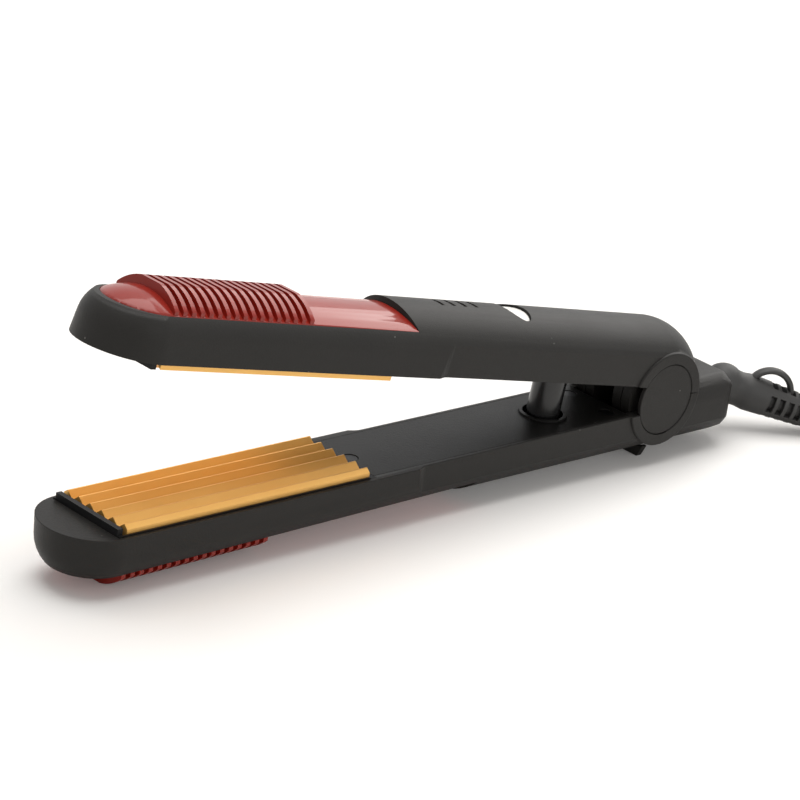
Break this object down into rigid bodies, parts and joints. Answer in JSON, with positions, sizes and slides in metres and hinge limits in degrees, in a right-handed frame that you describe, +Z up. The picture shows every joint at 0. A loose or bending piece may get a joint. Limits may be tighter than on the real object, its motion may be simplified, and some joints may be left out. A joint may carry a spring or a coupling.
{
  "type": "hair crimper",
  "caption": "Hinged hair crimper with ridged gold plates, ribbed red heat guards, charcoal handles, a sprung hinge, a slide lock and a swivelling mains cord with plug",
  "frame": {"origin": "middle of the bottom of the crimper itself, cord left out: on the table, under the middle of its length", "axes": "+X from the nose to the cord end, +Y to the far side, +Z up"},
  "size_m": [0.5017, 0.0616, 0.0966],
  "materials": {
    "housing": "soft-touch charcoal",
    "guard": "glossy dark red",
    "carrier": "glossy black",
    "plate": "gold ceramic coating",
    "ceramic": "fired ceramic",
    "film": "amber insulating film",
    "steel": "plain steel",
    "brass": "plain brass",
    "nylon": "natural nylon",
    "lead": "white silicone sleeve",
    "board": "green circuit board",
    "component": "black component bodies",
    "lamp": "tinted lamp",
    "lens": "smoked lens",
    "button": "off-white gloss",
    "cord_plastic": "black PVC",
    "pin": "nickel plated"
  },
  "bodies": {
    "lower_arm": {"lower_housing": "housing", "lower_inner_cover": "housing", "lower_heat_guard": "guard", "lower_plate_carrier": "carrier", "lower_crimp_plate": "plate", "lower_heater": "ceramic", "lower_heater_film": "film", "lower_heater_clip": "steel", "thermal_fuse": "steel", "lower_leads": "lead", "lower_cover_screws": "steel", "hinge_pin": "steel", "hinge_cap_near": "housing", "hinge_cap_far": "housing", "retaining_clips": "steel", "thrust_washers": "nylon", "spring_seat": "nylon", "swivel_socket": "nylon", "contact_brushes": "brass", "return_spring": "steel"},
    "upper_arm": {"upper_housing": "housing", "upper_inner_cover": "housing", "upper_heat_guard": "guard", "upper_plate_carrier": "carrier", "upper_crimp_plate": "plate", "upper_heater": "ceramic", "upper_heater_film": "film", "upper_heater_clip": "steel", "thermistor": "component", "upper_leads": "lead", "upper_cover_screws": "steel", "control_board": "board", "board_parts": "component", "tact_switch": "steel", "indicator_leds": "lamp", "lamp_lens": "lens", "board_screws": "steel", "spring_post": "carrier", "hinge_bushes": "brass"},
    "button": {"power_button": "button"},
    "lock": {"lock_slider": "housing"},
    "cord": {"cord_swivel": "cord_plastic", "swivel_rings": "brass", "strain_relief": "cord_plastic", "cord_lead": "cord_plastic", "cord_hank": "cord_plastic", "cord_tail": "cord_plastic", "cord_tie": "cord_plastic", "plug_body": "cord_plastic", "plug_pins": "pin"}
  },
  "joints": [
    {"name": "arm_hinge", "type": "hinge", "parent": "lower_arm", "child": "upper_arm", "pos_m": [0.1072, 0, 0.02492], "axis": [0, -1, 0], "range_deg": [0, 12.1], "stiffness_Nm_per_rad": 0.35, "springref_deg": -34.38, "deforming": ["return_spring"]},
    {"name": "button_press", "type": "slide", "parent": "upper_arm", "child": "button", "axis": [-0.1994, 0, -0.9799], "range_m": [0, 0.0008], "stiffness_N_per_m": 400, "springref_m": -0.001},
    {"name": "lock_slide", "type": "slide", "parent": "lower_arm", "child": "lock", "axis": [-1, 0, 0], "range_m": [0, 0.005]},
    {"name": "cord_swivel_turn", "type": "hinge", "parent": "lower_arm", "child": "cord", "pos_m": [0.142, 0, 0.01612], "axis": [1, 0, 0], "continuous": true}
  ]
}
